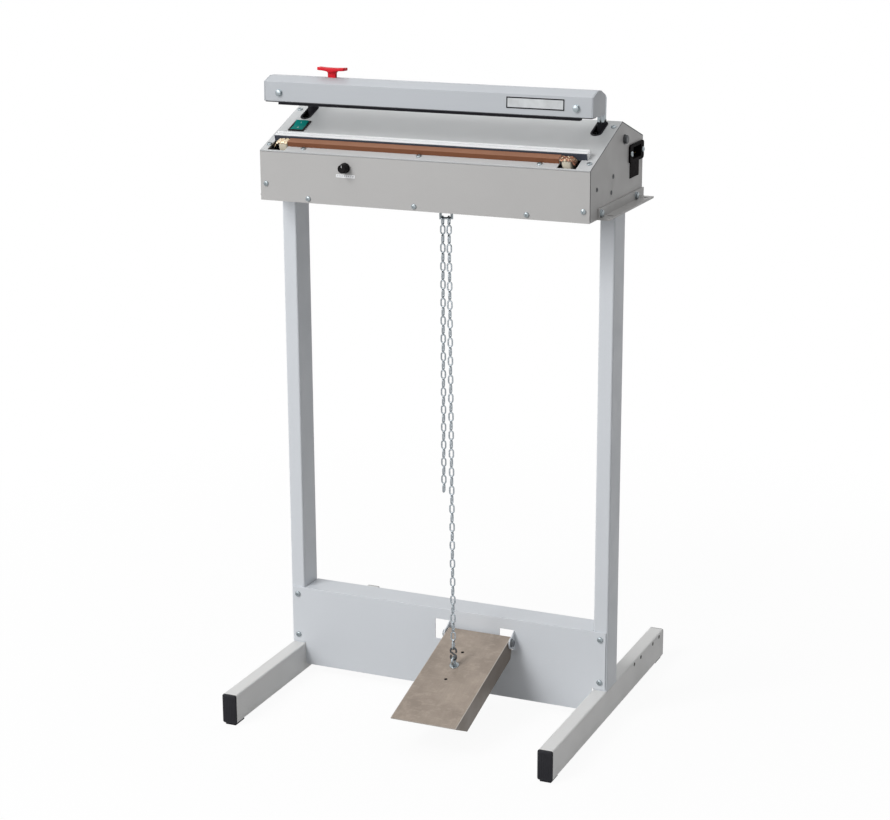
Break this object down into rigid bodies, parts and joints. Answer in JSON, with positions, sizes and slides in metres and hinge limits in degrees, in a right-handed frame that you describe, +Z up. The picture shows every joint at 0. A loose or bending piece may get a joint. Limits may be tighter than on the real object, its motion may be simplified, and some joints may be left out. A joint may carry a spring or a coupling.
{
  "type": "foot-operated impulse heat sealer",
  "caption": "Floor-standing impulse heat sealer: sloped sealing head with hinged press arm and sliding film cutter on a tube stand, closed by a pedal through a chain.",
  "frame": {"origin": "on the floor, midway between the posts and midway along the feet", "axes": "+X to the operator's right along the seal, +Y away from the operator, +Z up"},
  "size_m": [0.6, 0.56, 1.0618],
  "materials": {
    "painted_steel": "fine-textured light grey powder coat",
    "stainless_steel": "brushed along its length",
    "zinc_plated_steel": "bright zinc plate",
    "plain_steel": "plain satin steel",
    "aluminium": "natural extrusion",
    "dark_aluminium": "black anodised",
    "bronze": "plain copper alloy",
    "band_alloy": "rolled resistance alloy",
    "ptfe_fabric": "brown coated glass cloth",
    "cream_plastic": "moulded heat-resistant plastic",
    "dark_rubber": "matt moulded rubber",
    "black_plastic": "fine-grained moulded plastic",
    "red_plastic": "moulded red plastic",
    "green_plastic": "translucent green lens",
    "circuit_board": "solder mask",
    "iron_core": "varnished laminations"
  },
  "bodies": {
    "stand_and_head": {"left_foot": "painted_steel", "right_foot": "painted_steel", "foot_caps": "black_plastic", "foot_pads": "dark_rubber", "left_post": "painted_steel", "right_post": "painted_steel", "cross_panel": "painted_steel", "panel_screws": "zinc_plated_steel", "pedal_pivot_bolts": "zinc_plated_steel", "base_plate": "painted_steel", "post_nut_plates": "zinc_plated_steel", "head_bolts": "zinc_plated_steel", "front_panel": "painted_steel", "left_side_plate": "painted_steel", "right_side_plate": "painted_steel", "top_cover": "painted_steel", "slot_grommets": "dark_rubber", "housing_screws": "zinc_plated_steel", "bench_brackets": "zinc_plated_steel", "bracket_bolts": "zinc_plated_steel", "seal_bar": "aluminium", "heating_band": "band_alloy", "ptfe_cover": "ptfe_fabric", "film_bar": "aluminium", "terminal_blocks": "cream_plastic", "pivot_bushes": "bronze", "return_springs": "zinc_plated_steel", "spring_anchors": "zinc_plated_steel", "switch_bezel": "black_plastic", "timer_pot": "black_plastic", "timer_board": "circuit_board", "power_inlet": "black_plastic", "inlet_pins": "bronze", "fuse_holder": "black_plastic", "transformer_core": "iron_core", "transformer_coil": "bronze", "start_switch": "plain_steel"},
    "press_arm": {"arm_cover": "painted_steel", "arm_ends": "painted_steel", "pressure_bar": "dark_aluminium", "pressure_rubber": "dark_rubber", "side_arms": "plain_steel", "spring_pins": "zinc_plated_steel", "arm_bolts": "zinc_plated_steel", "pivot_shaft": "plain_steel", "pull_lever": "plain_steel", "cutter_rail": "aluminium"},
    "cutter": {"cutter_carriage": "black_plastic", "cutter_handle": "red_plastic", "cutter_blade": "plain_steel"},
    "pull_linkage": {"pull_rod": "zinc_plated_steel", "pull_chain": "zinc_plated_steel", "spare_chain": "zinc_plated_steel", "s_hook": "zinc_plated_steel"},
    "pedal": {"pedal_plate": "stainless_steel", "eyebolt": "zinc_plated_steel", "eyebolt_fasteners": "zinc_plated_steel"},
    "rocker": {"power_rocker": "green_plastic"},
    "knob": {"timer_knob": "black_plastic"}
  },
  "joints": [
    {"name": "arm_hinge", "type": "hinge", "parent": "stand_and_head", "child": "press_arm", "pos_m": [0, 0.0436, 0.9564], "axis": [1, 0, 0], "range_deg": [0, 22.7], "stiffness_Nm_per_rad": 8, "springref_deg": -34.38, "deforming": ["return_springs"]},
    {"name": "pedal_hinge", "type": "hinge", "parent": "stand_and_head", "child": "pedal", "pos_m": [0.0675, -0.04025, 0.12], "axis": [1, 0, 0], "range_deg": [0, 12]},
    {"name": "chain_hinge", "type": "hinge", "parent": "press_arm", "child": "pull_linkage", "pos_m": [0, -0.00389, 0.9564], "axis": [1, 0, 0], "range_deg": [-23, 0.3]},
    {"name": "cutter_slide", "type": "slide", "parent": "press_arm", "child": "cutter", "axis": [1, 0, 0], "range_m": [-0.035, 0.37]},
    {"name": "rocker_tilt", "type": "hinge", "parent": "stand_and_head", "child": "rocker", "pos_m": [-0.247, -0.03835, 0.95973], "axis": [1, 0, 0], "range_deg": [-14, 0]},
    {"name": "knob_turn", "type": "hinge", "parent": "stand_and_head", "child": "knob", "pos_m": [-0.1285, -0.1155, 0.9104], "axis": [0, -1, 0], "range_deg": [-140, 140]}
  ],
  "couplings": [
    {"joint": "pedal_hinge", "follows": "arm_hinge", "ratio": 0.52863},
    {"joint": "chain_hinge", "follows": "arm_hinge", "ratio": -1.001}
  ]
}
